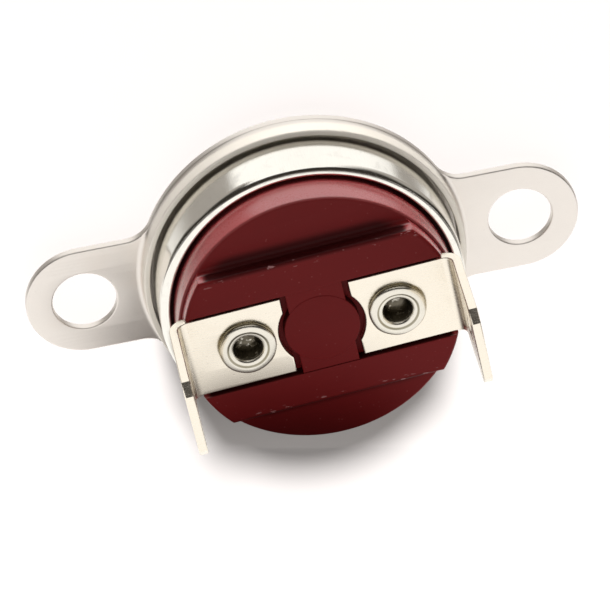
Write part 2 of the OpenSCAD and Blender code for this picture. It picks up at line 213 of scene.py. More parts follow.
class Paint:
    """The node tree of one material or of the world."""

    # A Mix node's factor and two colours, and the mixed colour, by their numbers.
    MIX_INPUTS = (0, 6, 7)
    MIX_RESULT = 2

    def __init__(self, tree: bpy.types.NodeTree) -> None:
        """Empties the tree."""
        self.tree = tree
        tree.nodes.clear()

    def add(self, kind: str, settings: dict[str, object] | None = None,
            sockets: dict[str | int, object] | None = None, output: str | int = 0) -> Channel:
        """Adds one node.

        Args:
            kind: The node's type.
            settings: Its properties, which are set first.
            sockets: Values, or channels to link, by the socket's name or number.
            output: Name or number of the output wanted.

        Returns:
            That output.
        """
        node = self.tree.nodes.new(kind)
        for key, value in (settings or {}).items():
            setattr(node, key, value)
        for key, value in (sockets or {}).items():
            if isinstance(value, Channel):
                self.tree.links.new(value.socket, node.inputs[key])
            else:
                node.inputs[key].default_value = value
        return Channel(self, node.outputs[output] if node.outputs else None)

    def maths(self, operation: str, *terms: "Channel | float") -> Channel:
        """Adds a Math node over the terms."""
        return self.add("ShaderNodeMath", {"operation": operation}, dict(enumerate(terms)))

    def mixed(self, first: "Channel | Colour", second: "Channel | Colour",
              factor: "Channel | float") -> Channel:
        """Mixes two colours.

        Args:
            first: Colour at factor 0.
            second: Colour at factor 1.
            factor: The share of the second.

        Returns:
            The mixed colour.
        """
        pair = [c if isinstance(c, Channel) else (*c, 1.0) for c in (first, second)]
        return self.add("ShaderNodeMix", {"data_type": "RGBA"},
            dict(zip(self.MIX_INPUTS, (factor, *pair))), self.MIX_RESULT)

    def along(self, vector: Channel, axis: Point) -> Channel:
        """Gives how far a vector reaches along an axis."""
        return self.add("ShaderNodeVectorMath", {"operation": "DOT_PRODUCT"},
            {0: vector, 1: axis}, "Value")

    def parts(self, vector: Channel) -> tuple[Channel, Channel, Channel]:
        """Splits a vector into its three numbers."""
        split = self.add("ShaderNodeSeparateXYZ", None, {0: vector}).socket.node
        return tuple(Channel(self, socket) for socket in split.outputs)

    def joined(self, x: "Channel | float", y: "Channel | float", z: "Channel | float") -> Channel:
        """Joins three numbers into a vector."""
        return self.add("ShaderNodeCombineXYZ", None, {0: x, 1: y, 2: z})

    def place(self) -> Channel:
        """Gives the place on the piece, in millimetres, which moves with the piece."""
        here = self.add("ShaderNodeTexCoord", None, None, "Object")
        return self.add("ShaderNodeVectorMath", {"operation": "MULTIPLY"},
            {0: here, 1: (1 / MM,) * 3})

    def facing(self) -> Channel:
        """Gives the surface's own direction, which moves with the piece."""
        return self.add("ShaderNodeTexCoord", None, None, "Normal")

    def noise(self, where: Channel, size: float, detail: float = 2.0, rough: float = 0.5,
              twist: float = 0.0) -> Channel:
        """Adds seedless cloud noise.

        Args:
            where: Place in millimetres, stretched as wanted.
            size: Size of a typical blotch in millimetres.
            detail: Number of finer layers.
            rough: Weight of the finer layers.
            twist: Distortion.

        Returns:
            A number about 0.5.
        """
        return self.add("ShaderNodeTexNoise", None, {"Vector": where, "Scale": 1.0 / size,
            "Detail": detail, "Roughness": rough, "Distortion": twist})

    def cells(self, where: Channel, size: float) -> Channel:
        """Gives the distance to the nearest of scattered points, in cells."""
        return self.add("ShaderNodeTexVoronoi", None, {"Vector": where, "Scale": 1.0 / size})

    def bump(self, height: Channel, depth: float, strength: float = 1.0) -> Channel:
        """Turns a height into a surface direction.

        Args:
            height: Height from 0 to 1.
            depth: Depth of the relief in millimetres.
            strength: Share of the relief that is kept.

        Returns:
            The direction for a Normal socket.
        """
        return self.add("ShaderNodeBump", None,
            {"Strength": strength, "Distance": depth * MM, "Height": height})


def span(x: Channel, y: Channel) -> Channel:
    """Gives the length of a flat vector."""
    return (x * x + y * y) ** 0.5


@dataclass(frozen=True)
class Finish:
    """A plain finish; the others add their own grain to it.

    Each pair but tones says where a mask is 0 and where it is 1: a slope in cosines to the
    switch's axis, the others in millimetres out from an axis or edge, or up from a face.
    """

    name: str
    slot: str
    colour: Colour
    metallic: float = 1.0
    roughness: float = 0.3
    grain: float = 0.12
    relief: float = 0.004
    tones: Flat = (0.82, 1.06)

    def material(self) -> bpy.types.Material:
        """Makes the material once and then hands out the same one.

        Returns:
            The material, with its nodes.
        """
        known = bpy.data.materials.get(self.name)
        if known is not None:
            return known
        made = bpy.data.materials.new(self.name)
        made.use_nodes = True
        paint = Paint(made.node_tree)
        shader = paint.add("ShaderNodeBsdfPrincipled", None,
            {"Metallic": self.metallic, **self.constants(), **self.surface(paint)})
        paint.add("ShaderNodeOutputMaterial", None, {"Surface": shader})
        made.diffuse_color = (*self.colour, 1.0)
        return made

    def constants(self) -> dict[str, object]:
        """Gives the shader's values that are the same all over the surface."""
        return {}

    def surface(self, paint: Paint) -> dict[str, object]:
        """Gives what changes over the surface.

        Args:
            paint: The material's nodes.

        Returns:
            Channels by the shader's socket names.
        """
        where = paint.place()
        fine = paint.noise(where, size=self.grain, detail=3.0)
        broad = paint.noise(where, size=12.0 * self.grain)
        tone = self.tinted(paint, fine * 0.4 + broad * 0.6)
        return {"Base Color": tone, "Roughness": (fine - 0.5) * 0.16 + self.roughness,
            "Normal": paint.bump(fine, self.relief)}

    def shade(self, amount: float) -> Colour:
        """Gives the finish's colour, darker below 1 and lighter above."""
        return tuple(min(1.0, c * amount) for c in self.colour)

    def tinted(self, paint: Paint, share: Channel) -> Channel:
        """Gives the finish's colour, from its dark tone at 0 to its light tone at 1."""
        return paint.mixed(*(self.shade(tone) for tone in self.tones), share)


@dataclass(frozen=True)
class DrawnAluminium(Finish):
    """Bright sheet with draw lines up the wall and spun rings on the faces."""

    relief: float = 0.003
    tones: Flat = (0.86, 1.08)
    kept_relief: float = 0.8
    line: float = 0.05
    face_slope: Flat = (0.35, 0.75)
    handled: Colour = (0.66, 0.63, 0.58)

    def surface(self, paint: Paint) -> dict[str, object]:
        """Adds the draw lines, rings and handling marks.

        Args:
            paint: The material's nodes.

        Returns:
            Channels by the shader's socket names.
        """
        where = paint.place()
        x, y, z = paint.parts(where)
        upright = abs(paint.parts(paint.facing())[2])
        out = span(x, y)
        girth = paint.maths("ARCTAN2", y, x) * PLAN.cup_r
        lines, rings = (paint.noise(stretched, size=self.line, detail=3.0, rough=0.7)
            for stretched in (paint.joined(girth, z * 0.05, 0.0),
                paint.joined(out, girth * 0.02, 0.0)))
        on_face = upright.ramp(*self.face_slope)
        grain = lines * (1.0 - on_face) + rings * on_face
        marks = paint.noise(where, size=0.9, detail=4.0, rough=0.6, twist=0.6).ramp(0.52, 0.72)
        soft = paint.noise(paint.joined(girth, z * 0.4, out), size=2.2)
        tone = self.tinted(paint, grain * 0.55 + soft * 0.45)
        tone = paint.mixed(tone, self.handled, marks * 0.16)
        rough = self.roughness + (grain - 0.5) * 0.16 + marks * 0.10
        return {"Base Color": tone, "Roughness": rough,
            "Normal": paint.bump(grain, self.relief, self.kept_relief)}


@dataclass(frozen=True)
class SatinPlate(Finish):
    """Tumbled, plated sheet with a soft grain, rubbed lines, faint stains and a dull collar."""

    tones: Flat = (0.90, 1.05)
    stained: Colour = (0.78, 0.70, 0.62)
    drawn: Colour = (0.95, 0.90, 0.81)
    drawn_rise: Flat = (0.1, 0.4)
    drawn_out: Flat = (0.01, 0.08)

    def surface(self, paint: Paint) -> dict[str, object]:
        """Adds the grain, the rubbed lines, the stains and the collar's drawn skin.

        Args:
            paint: The material's nodes.

        Returns:
            Channels by the shader's socket names.
        """
        where = paint.place()
        x, y, z = paint.parts(where)
        grain = paint.noise(where, size=0.07, detail=3.0, rough=0.6)
        stretched = paint.joined(x * 0.10 + y * 0.05, y - x * 0.3, z)
        rubbed = paint.noise(stretched, size=0.06, rough=0.6)
        stain = paint.noise(where, size=2.4, detail=3.0, rough=0.55, twist=0.4)
        pits = (paint.cells(where, size=0.45).ramp(0.16, 0.05)
            * paint.noise(where, size=1.1).ramp(0.5, 0.66))
        above = z - LEVELS.bracket_top
        outside = span(x, y) - PLAN.collar_bore_r
        skin = above.ramp(*self.drawn_rise) * outside.ramp(*self.drawn_out)
        tone = self.tinted(paint, stain * 0.6 + grain * 0.4)
        tone = paint.mixed(tone, self.stained, stain.ramp(0.45, 0.8) * 0.25)
        tone = paint.mixed(tone, self.shade(0.72), pits * 0.5)
        tone = paint.mixed(tone, self.drawn, skin * 0.7)
        rough = (self.roughness + (grain - 0.5) * 0.14 + (rubbed - 0.5) * 0.12 + stain * 0.05
            + skin * 0.16)
        return {"Base Color": tone, "Metallic": self.metallic - skin * 0.55, "Roughness": rough,
            "Normal": paint.bump(grain * 0.6 + rubbed * 0.4 - pits * 0.6, self.relief)}


@dataclass(frozen=True)
class RedPhenolic(Finish):
    """Pressed dark red resin: filled and dull on top, glossy where the mould had a polish, with
    painted light on those sides.
    """

    relief: float = 0.006
    tones: Flat = (0.84, 1.14)
    gloss: Colour = (1.0, 0.86, 0.87)
    speck: Colour = (0.30, 0.085, 0.085)
    polished: Colour = (0.42, 0.070, 0.075)
    top_edge_tone: Colour = (0.33, 0.10, 0.10)
    scuff_and_glint_tone: Colour = (0.50, 0.27, 0.27)
    side_slope: Flat = (0.55, 0.25)
    side_fade: Flat = (6.95, 7.3)
    wall_slope: Flat = (0.6, 0.25)
    wall_fade: Flat = (7.3, 7.05)
    foot_fade: Flat = (7.3, 6.4)
    foot_near: Flat = (-0.3, 0.0)
    foot_far: Flat = (0.85, 0.35)
    edge_band: Flat = (7.46, 7.56)
    edge_rise: Flat = (-0.2, -0.1)
    bar_edge: Flat = (-0.5, -0.2)
    bar_rise: Flat = (-0.2, -0.08)
    seam_fade: Flat = (0.18, 0.08)
    seam_ends: Flat = (2.5, 6.5)

    def constants(self) -> dict[str, object]:
        """Gives the polished skin's constants."""
        return {"Specular IOR Level": 0.11, "Coat IOR": 1.9, "Coat Roughness": 0.22,
            "Coat Tint": (*self.gloss, 1.0)}

    def surface(self, paint: Paint) -> dict[str, object]:
        """Adds the filler, flow marks, painted light on the sides, painted shade, and scuffs with
        painted glints along the bar's edge.

        Args:
            paint: The material's nodes.

        Returns:
            Channels by the shader's socket names.
        """
        where = paint.place()
        x, y, z = paint.parts(where)
        up = abs(paint.parts(paint.facing())[2])
        out = span(x, y)
        filler = paint.noise(where, size=0.09, detail=4.0, rough=0.7)
        flow = paint.noise(paint.joined(x * 0.45, y, z), size=1.5, detail=3.0, rough=0.6, twist=0.8)
        specks = (paint.cells(where, size=0.28).ramp(0.22, 0.05)
            * paint.noise(where, size=0.6).ramp(0.52, 0.62))
        side = up.ramp(*self.side_slope) * out.ramp(*self.side_fade)
        tone = self.tinted(paint, filler * 0.45 + flow * 0.55)
        tone = paint.mixed(tone, self.speck, specks * 0.35)
        # painted light: the drum's glossy sides are drawn a much lighter red
        tone = paint.mixed(tone, self.polished, side * 0.6)
        turn = math.radians(PLAN.turn)
        past_bar = abs(y * math.cos(turn) - x * math.sin(turn)) - PLAN.bar_half
        # painted shade: upright faces inside the drum and the half-moon floor along the bar's foot
        # are drawn near black
        wall = up.ramp(*self.wall_slope) * out.ramp(*self.wall_fade)
        foot = (past_bar.ramp(*self.foot_far) * past_bar.ramp(*self.foot_near)
            * out.ramp(*self.foot_fade))
        tone = paint.mixed(tone, self.shade(0.20), paint.maths("MAXIMUM", wall, foot * 0.9) * 0.92)
        # the drum's rounded top edge is drawn a lighter red
        edge = out.ramp(*self.edge_band) * (z - LEVELS.step).ramp(*self.edge_rise)
        tone = paint.mixed(tone, self.top_edge_tone, edge * 0.35)
        # scuffs along the bar's top edge, drawn pale so that they also serve as painted glints
        rubbed = past_bar.ramp(*self.bar_edge) * (z - LEVELS.bar).ramp(*self.bar_rise)
        stretched = paint.joined(x * 0.8, y * 2.5, z)
        scuff_and_glint = paint.noise(stretched, size=0.5, detail=3.0).ramp(0.62, 0.68)
        tone = paint.mixed(tone, self.scuff_and_glint_tone, scuff_and_glint * rubbed * 0.55)
        # painted shade: the drum's foot next to the lip is drawn near black, more towards the
        # terminals
        seam_shade = (z - LEVELS.lip).ramp(*self.seam_fade)
        ends = abs(x).ramp(*self.seam_ends)
        tone = paint.mixed(tone, self.shade(0.12), seam_shade * (ends * 0.35 + 0.55))
        rough = self.roughness + (filler - 0.5) * 0.16 - side * 0.18 + (flow - 0.5) * 0.1
        return {"Base Color": tone, "Roughness": rough, "Coat Weight": side * 0.9 * (1.0 - seam_shade),
            "Normal": paint.bump(filler * 0.6 + flow * 0.8 + specks * 0.3, self.relief)}


@dataclass(frozen=True)
class TinnedStrip(Finish):
    """Tinned strip with rolling lines, soft stains and a few fine scratches."""

    tones: Flat = (0.88, 1.04)
    stained: Colour = (0.72, 0.62, 0.50)

    def surface(self, paint: Paint) -> dict[str, object]:
        """Adds the rolling lines, the stains and the scratches.

        Args:
            paint: The material's nodes.

        Returns:
            Channels by the shader's socket names.
        """
        where = paint.place()
        x, y, z = paint.parts(where)
        along = abs(x) + z
        lines = paint.noise(paint.joined(along * 0.04, y, 0.0), size=0.05, detail=3.0, rough=0.7)
        stain = paint.noise(where, size=0.8, detail=4.0, rough=0.6, twist=0.5)
        fine = paint.noise(where, size=0.05)
        scratched = paint.joined(along * 0.15 + y * 0.5, y * 0.9 - along * 0.35, 0.0)
        scratch = paint.noise(scratched, size=0.11, rough=0.8, twist=0.3).ramp(0.66, 0.74)
        tone = self.tinted(paint, lines * 0.35 + stain * 0.65)
        tone = paint.mixed(tone, self.stained, stain.ramp(0.48, 0.75) * 0.14)
        rough = self.roughness + (lines - 0.5) * 0.14 + (stain - 0.5) * 0.14 - scratch * 0.1
        return {"Base Color": tone, "Roughness": rough,
            "Normal": paint.bump(lines * 0.5 + fine * 0.3 - scratch * 0.8, self.relief)}


@dataclass(frozen=True)
class RolledNickel(Finish):
    """Nickelled rivet metal, rubbed in rings by the rolling tool, drawn dark in the hollow with
    painted glints, and with painted shade round the rim's foot.
    """

    relief: float = 0.012
    tones: Flat = (0.86, 1.05)
    centre_x: float = PLAN.rivet_x
    hollow_tone: Colour = (0.075, 0.060, 0.035)
    rim_ring_dark: Colour = (0.22, 0.195, 0.12)
    hollow: Flat = (0.98, 0.82)
    hollow_rise: Flat = (0.32, -0.05)
    line_in: Flat = (1.00, 1.06)
    line_out: Flat = (1.17, 1.11)
    groove: Flat = (1.34, 1.48)
    groove_rise: Flat = (0.36, 0.20)

    def surface(self, paint: Paint) -> dict[str, object]:
        """Adds the tool's rings, the dark hollow with its painted glints, and the dark rings round
        the rim.

        Args:
            paint: The material's nodes.

        Returns:
            Channels by the shader's socket names.
        """
        where = paint.place()
        turn = math.radians(PLAN.turn)
        x, y, z = paint.parts(where)
        out = span(x - self.centre_x * math.cos(turn), y - self.centre_x * math.sin(turn))
        above = z - LEVELS.plate
        rings = paint.noise(paint.joined(out, z * 0.8, 0.0), size=0.045, detail=3.0, rough=0.7)
        blotch = paint.noise(where, size=0.35, detail=3.0, rough=0.6, twist=0.5)
        painted_glint = paint.noise(where, size=0.42, rough=0.6, twist=1.2).ramp(0.57, 0.64)
        deep = above.ramp(*self.hollow_rise) * out.ramp(*self.hollow)
        groove = out.ramp(*self.groove) * above.ramp(*self.groove_rise)
        line = out.ramp(*self.line_in) * out.ramp(*self.line_out)
        tone = self.tinted(paint, rings * 0.4 + blotch * 0.6)
        # the hollow is drawn nearly black, with painted glints left lighter in it
        tone = paint.mixed(tone, self.hollow_tone, deep * (0.90 - painted_glint * 0.75))
        # painted shade round the rim's foot against the plate, and a thin dark ring drawn on the
        # roll
        tone = paint.mixed(tone, self.rim_ring_dark, paint.maths("MAXIMUM", groove * 0.95, line * 0.8))
        rough = self.roughness + (rings - 0.5) * 0.2 + deep * 0.06
        return {"Base Color": tone, "Roughness": rough,
            "Normal": paint.bump(rings * 0.5 + blotch * 0.9 * (0.3 + deep), self.relief)}


def arc(x: float, y: float, radius: float, start: float, end: float, steps: int = 8) -> list[Flat]:
    """Gives points along an arc.

    Args:
        x: The centre's first coordinate.
        y: The centre's second coordinate.
        radius: The arc's radius.
        start: First angle in degrees.
        end: Last angle in degrees; below start, the arc runs clockwise.
        steps: Number of chords.

    Returns:
        The points, both ends included.
    """
    turns = [math.radians(start + (end - start) * i / steps) for i in range(steps + 1)]
    return [(x + radius * math.cos(t), y + radius * math.sin(t)) for t in turns]


def hole(x: float, radius: float, steps: int) -> list[Flat]:
    """Gives a round hole's outline on the X axis, clockwise."""
    return arc(x, 0.0, radius, 360, 0, steps)[:-1]


def band(radius: float, low: float, high: float, steps: int) -> list[Flat]:
    """Gives the outline of a disc that is cut along X by two lines.

    Args:
        radius: The disc's radius.
        low: Where the lower line crosses Y.
        high: Where the upper line crosses Y.
        steps: Chords in each round end.

    Returns:
        The points, anticlockwise.
    """
    near, far = (math.degrees(math.asin(y / radius)) for y in (low, high))
    return arc(0, 0, radius, near, far, steps) + arc(0, 0, radius, 180 - far, 180 - near, steps)


def quarter_turns(steps: int) -> list[float]:
    """Gives evenly spaced angles in radians, from 0 to a quarter turn."""
    return [math.pi / 2 * i / steps for i in range(steps + 1)]


def inset(loop: Sequence[Flat], amounts: Sequence[float], least: float = 0.35) -> list[Flat]:
    """Moves a closed outline towards its left-hand side, with mitred corners.

    Args:
        loop: The outline's points.
        amounts: How far each point's sides move.
        least: Smallest cosine of half a corner's turn, which bounds a sharp mitre.

    Returns:
        The moved outline.
    """
    moved = []
    for i, (x, y) in enumerate(loop):
        before = Vector(loop[i - 1])
        after = Vector(loop[(i + 1) % len(loop)])
        here = Vector((x, y))
        first, second = (here - before).normalized(), (after - here).normalized()
        left = Vector((-first.y - second.y, first.x + second.x)).normalized()
        reach = amounts[i] / max(least, left.dot(Vector((-first.y, first.x))))
        moved.append((x + left.x * reach, y + left.y * reach))
    return moved


def rounded_rim(low: float, high: float, foot: float, crown: float, steps: int = 5) -> list[Flat]:
    """Gives the section of a sheet's edge as insets and heights.

    Args:
        low: Height of the lower face.
        high: Height of the upper face.
        foot: Radius of the lower edge.
        crown: Radius of the upper edge.
        steps: Chords in each radius.

    Returns:
        (inset, height) pairs from the lower face to the upper.
    """
    lower = [(foot - foot * math.cos(a), low + foot - foot * math.sin(a))
        for a in reversed(quarter_turns(steps))]
    upper = [(crown - crown * math.cos(a), high - crown + crown * math.sin(a))
        for a in quarter_turns(steps)]
    return lower + upper


class Skin:
    """Closed surfaces in millimetres that become one piece."""

    def __init__(self) -> None:
        """Starts with nothing."""
        self.points: list[Point] = []
        self.faces: list[tuple[int, ...]] = []

    def rows(self, rows: Sequence[Sequence[Point]], closed_path: bool = False) -> list[list[int]]:
        """Joins closed rows of equal length by bands.

        Args:
            rows: The rows of points.
            closed_path: Whether the last row joins the first.

        Returns:
            The numbers of the points, row by row.
        """
        numbers = []
        for row in rows:
            start = len(self.points)
            self.points.extend(row)
            numbers.append(list(range(start, start + len(row))))
        following = numbers[1:] + (numbers[:1] if closed_path else [])
        for lower, upper in zip(numbers, following):
            for i in range(len(lower)):
                j = (i + 1) % len(lower)
                self.faces.append((lower[i], lower[j], upper[j], upper[i]))
        return numbers

    def cap(self, loops: Sequence[Sequence[int]]) -> None:
        """Fills a flat outline round its holes.

        Args:
            loops: Numbers of the outline's points, and then of each hole's.
        """
        flat = [i for loop in loops for i in loop]
        outlines = [[Vector(self.points[i]) for i in loop] for loop in loops]
        for triangle in geometry.tessellate_polygon(outlines):
            self.faces.append(tuple(flat[i] for i in triangle))

    def slab(self, outline: Sequence[Flat], rim: Callable[[Flat], Rim],
             holes: Sequence[tuple[Sequence[Flat], Rim]] = ()) -> None:
        """Adds a plate with shaped edges.

        Args:
            outline: Its outline, anticlockwise.
            rim: Gives the edge's section at a point of the outline.
            holes: Each hole's outline, clockwise, and the section of its edge.
        """
        rings = []
        loops = [(outline, [rim(point) for point in outline])]
        loops += [(loop, [section] * len(loop)) for loop, section in holes]
        for loop, sections in loops:
            levels = []
            for k in range(len(sections[0])):
                moved = inset(loop, [s[k][0] for s in sections])
                levels.append([(x, y, s[k][1]) for (x, y), s in zip(moved, sections)])
            rings.append(self.rows(levels))
        self.cap([ring[0] for ring in rings])
        self.cap([ring[-1] for ring in rings])

    def lathe(self, profile: Callable[[float], Sequence[Flat]] | Sequence[Flat], steps: int,
              centre: Flat = (0.0, 0.0), closed: bool = True) -> None:
        """Adds a turned shape.

        Args:
            profile: (radius, height) points, or a function that gives them for an angle.
            steps: Number of flats round the axis.
            centre: Where the axis stands.
            closed: Whether the last point joins the first; otherwise both ends are on the axis.
        """
        rings = []
        for i in range(steps):
            turn = math.tau * i / steps
            section = profile(turn) if callable(profile) else profile
            rings.append([(centre[0] + r * math.cos(turn), centre[1] + r * math.sin(turn), z)
                for r, z in section])
        rows = [list(row) for row in zip(*rings)]
        if closed:
            self.rows(rows, closed_path=True)
            return
        numbers = self.rows(rows[1:-1])
        for row, end in ((numbers[0], rows[0]), (numbers[-1], rows[-1])):
            self.points.append((*centre, end[0][2]))
            tip = len(self.points) - 1
            self.faces.extend((row[i], row[(i + 1) % steps], tip) for i in range(steps))

    def piece(self, name: str, finish: Finish, body: str, node: str, turn: float = 0.0,
              shape: Callable[[bmesh.types.BMesh], None] | None = None,
              crease: float = 38.0) -> bpy.types.Object:
        """Makes the piece, dresses it and hands it to its body.

        Args:
            name: The piece's name.
            finish: Its finish.
            body: The body that it rides on.
            node: The solid that it stands for.
            turn: Turn about Z in degrees.
            shape: Bends or cuts the mesh, still in millimetres, before the turn.
            crease: Angle in degrees above which an edge is sharp.

        Returns:
            The piece.
        """
        mesh = bpy.data.meshes.new(name)
        mesh.from_pydata(self.points, [], self.faces)
        work = bmesh.new()
        work.from_mesh(mesh)
        if shape is not None:
            shape(work)
        bmesh.ops.recalc_face_normals(work, faces=work.faces)
        bmesh.ops.transform(work, matrix=Matrix.Rotation(math.radians(turn), 4, "Z")
            @ Matrix.Scale(MM, 4), verts=work.verts)
        work.to_mesh(mesh)
        work.free()
        mesh.shade_smooth()
        mesh.set_sharp_from_angle(angle=math.radians(crease))
        made = bpy.data.objects.new(name, mesh)
        bpy.context.scene.collection.objects.link(made)
        weighted = made.modifiers.new("weighted_normals", "WEIGHTED_NORMAL")
        weighted.keep_sharp = True
        weighted.weight = 80
        mesh.materials.append(finish.material())
        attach(made, body)
        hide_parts(node)
        LOG.info("%s: %d faces, stands for %s", name, len(mesh.polygons), node)
        return made


class End(Enum):
    """The two ends of the bar, by the side of the axis on which they lie."""

    FIXED = 1
    MOVING = -1

    @property
    def word(self) -> str:
        """Gives the end's word in the names of its pieces."""
        return self.name.lower()


@dataclass
class SensingCup:
    """Drawn cup: flat sensing face, rolled groove for the bracket, lip crimped on the body."""

    finish: Finish
    radius: float = PLAN.cup_r
    sheet: float = 0.35
    floor_r: float = 3.0
    corner_r: float = 0.9
    top: float = LEVELS.lip
    lip_bend_r: float = 0.45
    lip_w: float = 0.6
    lip_slope: float = 25.0
    groove_low: float = LEVELS.groove_low
    groove_high: float = LEVELS.groove_high
    groove_depth: float = LEVELS.groove_depth
    groove_slope: float = 45.0
    soft: float = 0.12
    soft_share: float = 0.45

    def eased(self, points: Sequence[Flat]) -> list[Flat]:
        """Rounds the corners of an open section.

        Args:
            points: The section; its first and last points stay.

        Returns:
            The section with short curves in place of its corners.
        """
        curved = [points[0]]
        for before, here, after in zip(points, points[1:], points[2:]):
            b, h, a = Vector(before), Vector(here), Vector(after)
            reach = min(self.soft, (b - h).length * self.soft_share,
                (a - h).length * self.soft_share)
            start, end = h + (b - h).normalized() * reach, h + (a - h).normalized() * reach
            for t in (0.0, 0.25, 0.5, 0.75, 1.0):
                curved.append(tuple(start * (1 - t) ** 2 + h * 2 * t * (1 - t) + end * t * t))
        return curved + [points[-1]]

    def section(self) -> list[Flat]:
        """Gives the cup's section, outside upwards and inside back down.

        Returns:
            Points from the axis below to the axis above the floor.
        """
        r, t, depth = self.radius, self.sheet, self.groove_depth
        edge_r, bend_r = t / 2, self.lip_bend_r
        edge_x, edge_z = r - self.lip_w + edge_r, self.top - edge_r
        bend_x = r - bend_r
        slope = math.radians(self.lip_slope)
        drop = bend_r - edge_r - (edge_x - bend_x) * math.sin(slope)
        bend_z = edge_z - drop / math.cos(slope)
        corner = r - self.corner_r, self.corner_r
        lip = 90.0 - self.lip_slope
        groove = self.eased([(r, self.corner_r), (r, self.groove_low),
            (r - depth, self.groove_low + depth), (r - depth, self.groove_high - depth),
            (r, self.groove_high), (r, bend_z)])
        inner = r - t
        shift = t * math.tan(math.radians(self.groove_slope / 2))
        lining = self.eased([(inner, bend_z), (inner, self.groove_high + shift),
            (inner - depth, self.groove_high - depth + shift),
            (inner - depth, self.groove_low + depth - shift), (inner, self.groove_low - shift),
            (inner, self.corner_r)])
        return [(0.0, 0.0), (self.floor_r, 0.0), *arc(*corner, self.corner_r, -90, 0, steps=14),
            *groove[1:-1], *arc(bend_x, bend_z, bend_r, 0, lip, steps=12),
            *arc(edge_x, edge_z, edge_r, lip, lip + 180, steps=10),
            *arc(bend_x, bend_z, bend_r - t, lip, 0, steps=6), *lining[1:-1],
            *arc(*corner, self.corner_r - t, 0, -90, steps=8), (self.floor_r, t), (0.0, t)]

    def build(self) -> None:
        """Makes the cup."""
        skin = Skin()
        skin.lathe(self.section(), steps=256, closed=False)
        skin.piece("sensing_cup_shell", self.finish, "housing", "sensing_cup")


@dataclass
class EarBracket:
    """Stamped bracket: ring with a raised collar, and two ears with round holes."""

    finish: Finish
    low: float = LEVELS.bracket
    top: float = LEVELS.bracket_top
    bore_r: float = 8.1
    collar_bore_r: float = PLAN.collar_bore_r
    collar_r: float = 8.8
    collar_crown_r: float = 0.10
    collar_top: float = LEVELS.collar
    collar_foot_r: float = 0.3
    collar_sink: float = 0.1
    foot_clear: float = 0.03
    ring_r: float = 8.85
    ear_x: float = 12.0
    ear_r: float = 3.2
    ear_hole_r: float = 1.75
    fillet_r: float = 1.6
    burr_r: float = 0.05
    crown: float = 0.11
    bore_crown: float = 0.08
    hole_crown: float = 0.09

    @property
    def fillet_centre(self) -> Flat:
        """Gives the centre of the hollow corner between ring and ear."""
        y = self.ear_r + self.fillet_r
        return math.sqrt((self.ring_r + self.fillet_r) ** 2 - y * y), y

    def quarter(self) -> list[Flat]:
        """Gives the outline from the ear's tip round to the top of the ring.

        Returns:
            Points of the first quarter, anticlockwise.
        """
        cx, cy = self.fillet_centre
        meet = math.degrees(math.atan2(cy, cx))
        return [*arc(self.ear_x, 0.0, self.ear_r, 0, 90, steps=28),
            *arc(cx, cy, self.fillet_r, 270, 180 + meet, steps=12),
            *arc(0.0, 0.0, self.ring_r, meet, 90, steps=40)[1:]]

    def outline(self) -> list[Flat]:
        """Mirrors the quarter.

        Returns:
            The blank's whole outline, anticlockwise.
        """
        first = self.quarter()
        half = first + [(-x, y) for x, y in reversed(first[:-1])]
        return half + [(x, -y) for x, y in reversed(half[1:-1])]

    def foot(self, turn: float) -> float:
        """Gives the width of the collar's hollow foot, less where the ring is cut close.

        Args:
            turn: Angle about Z in radians.

        Returns:
            The width in millimetres.
        """
        lean = math.atan2(abs(math.sin(turn)), abs(math.cos(turn)))
        cx, cy = self.fillet_centre
        meet = 180 + math.degrees(math.atan2(cy, cx))
        for x, y in arc(cx, cy, self.fillet_r, meet, 270, steps=40):
            if math.atan2(y, x) <= lean:
                return min(self.collar_foot_r, math.hypot(x, y) - self.collar_r - self.foot_clear)
        return self.collar_foot_r

    def collar(self, turn: float) -> list[Flat]:
        """Gives the collar's section at an angle.

        Args:
            turn: Angle about Z in radians.

        Returns:
            The closed section.
        """
        crown, width = self.collar_crown_r, self.foot(turn)
        crown_z, sunk = self.collar_top - crown, self.top - self.collar_sink
        hollow = [(self.collar_r + width * (1 - math.sin(a)),
            self.top + self.collar_foot_r * (1 - math.cos(a))) for a in reversed(quarter_turns(8))]
        return [(self.collar_bore_r, sunk), (self.collar_bore_r, self.top + 2 * self.collar_sink),
            *arc(self.collar_bore_r + crown, crown_z, crown, 180, 90, steps=6),
            *arc(self.collar_r - crown, crown_z, crown, 90, 0, steps=6), *hollow,
            (self.collar_r + width, sunk)]

    def build(self) -> None:
        """Makes the bracket."""
        edge, bore_edge, hole_edge = (rounded_rim(self.low, self.top, self.burr_r, crown)
            for crown in (self.crown, self.bore_crown, self.hole_crown))
        holes = [(hole(0.0, self.bore_r, steps=240), bore_edge)]
        holes += [(hole(side * self.ear_x, self.ear_hole_r, steps=72), hole_edge)
            for side in (-1, 1)]
        skin = Skin()
        skin.slab(self.outline(), lambda point: edge, holes)
        skin.lathe(self.collar, steps=288)
        skin.piece("ear_bracket_stamping", self.finish, "bracket", "mounting_bracket")


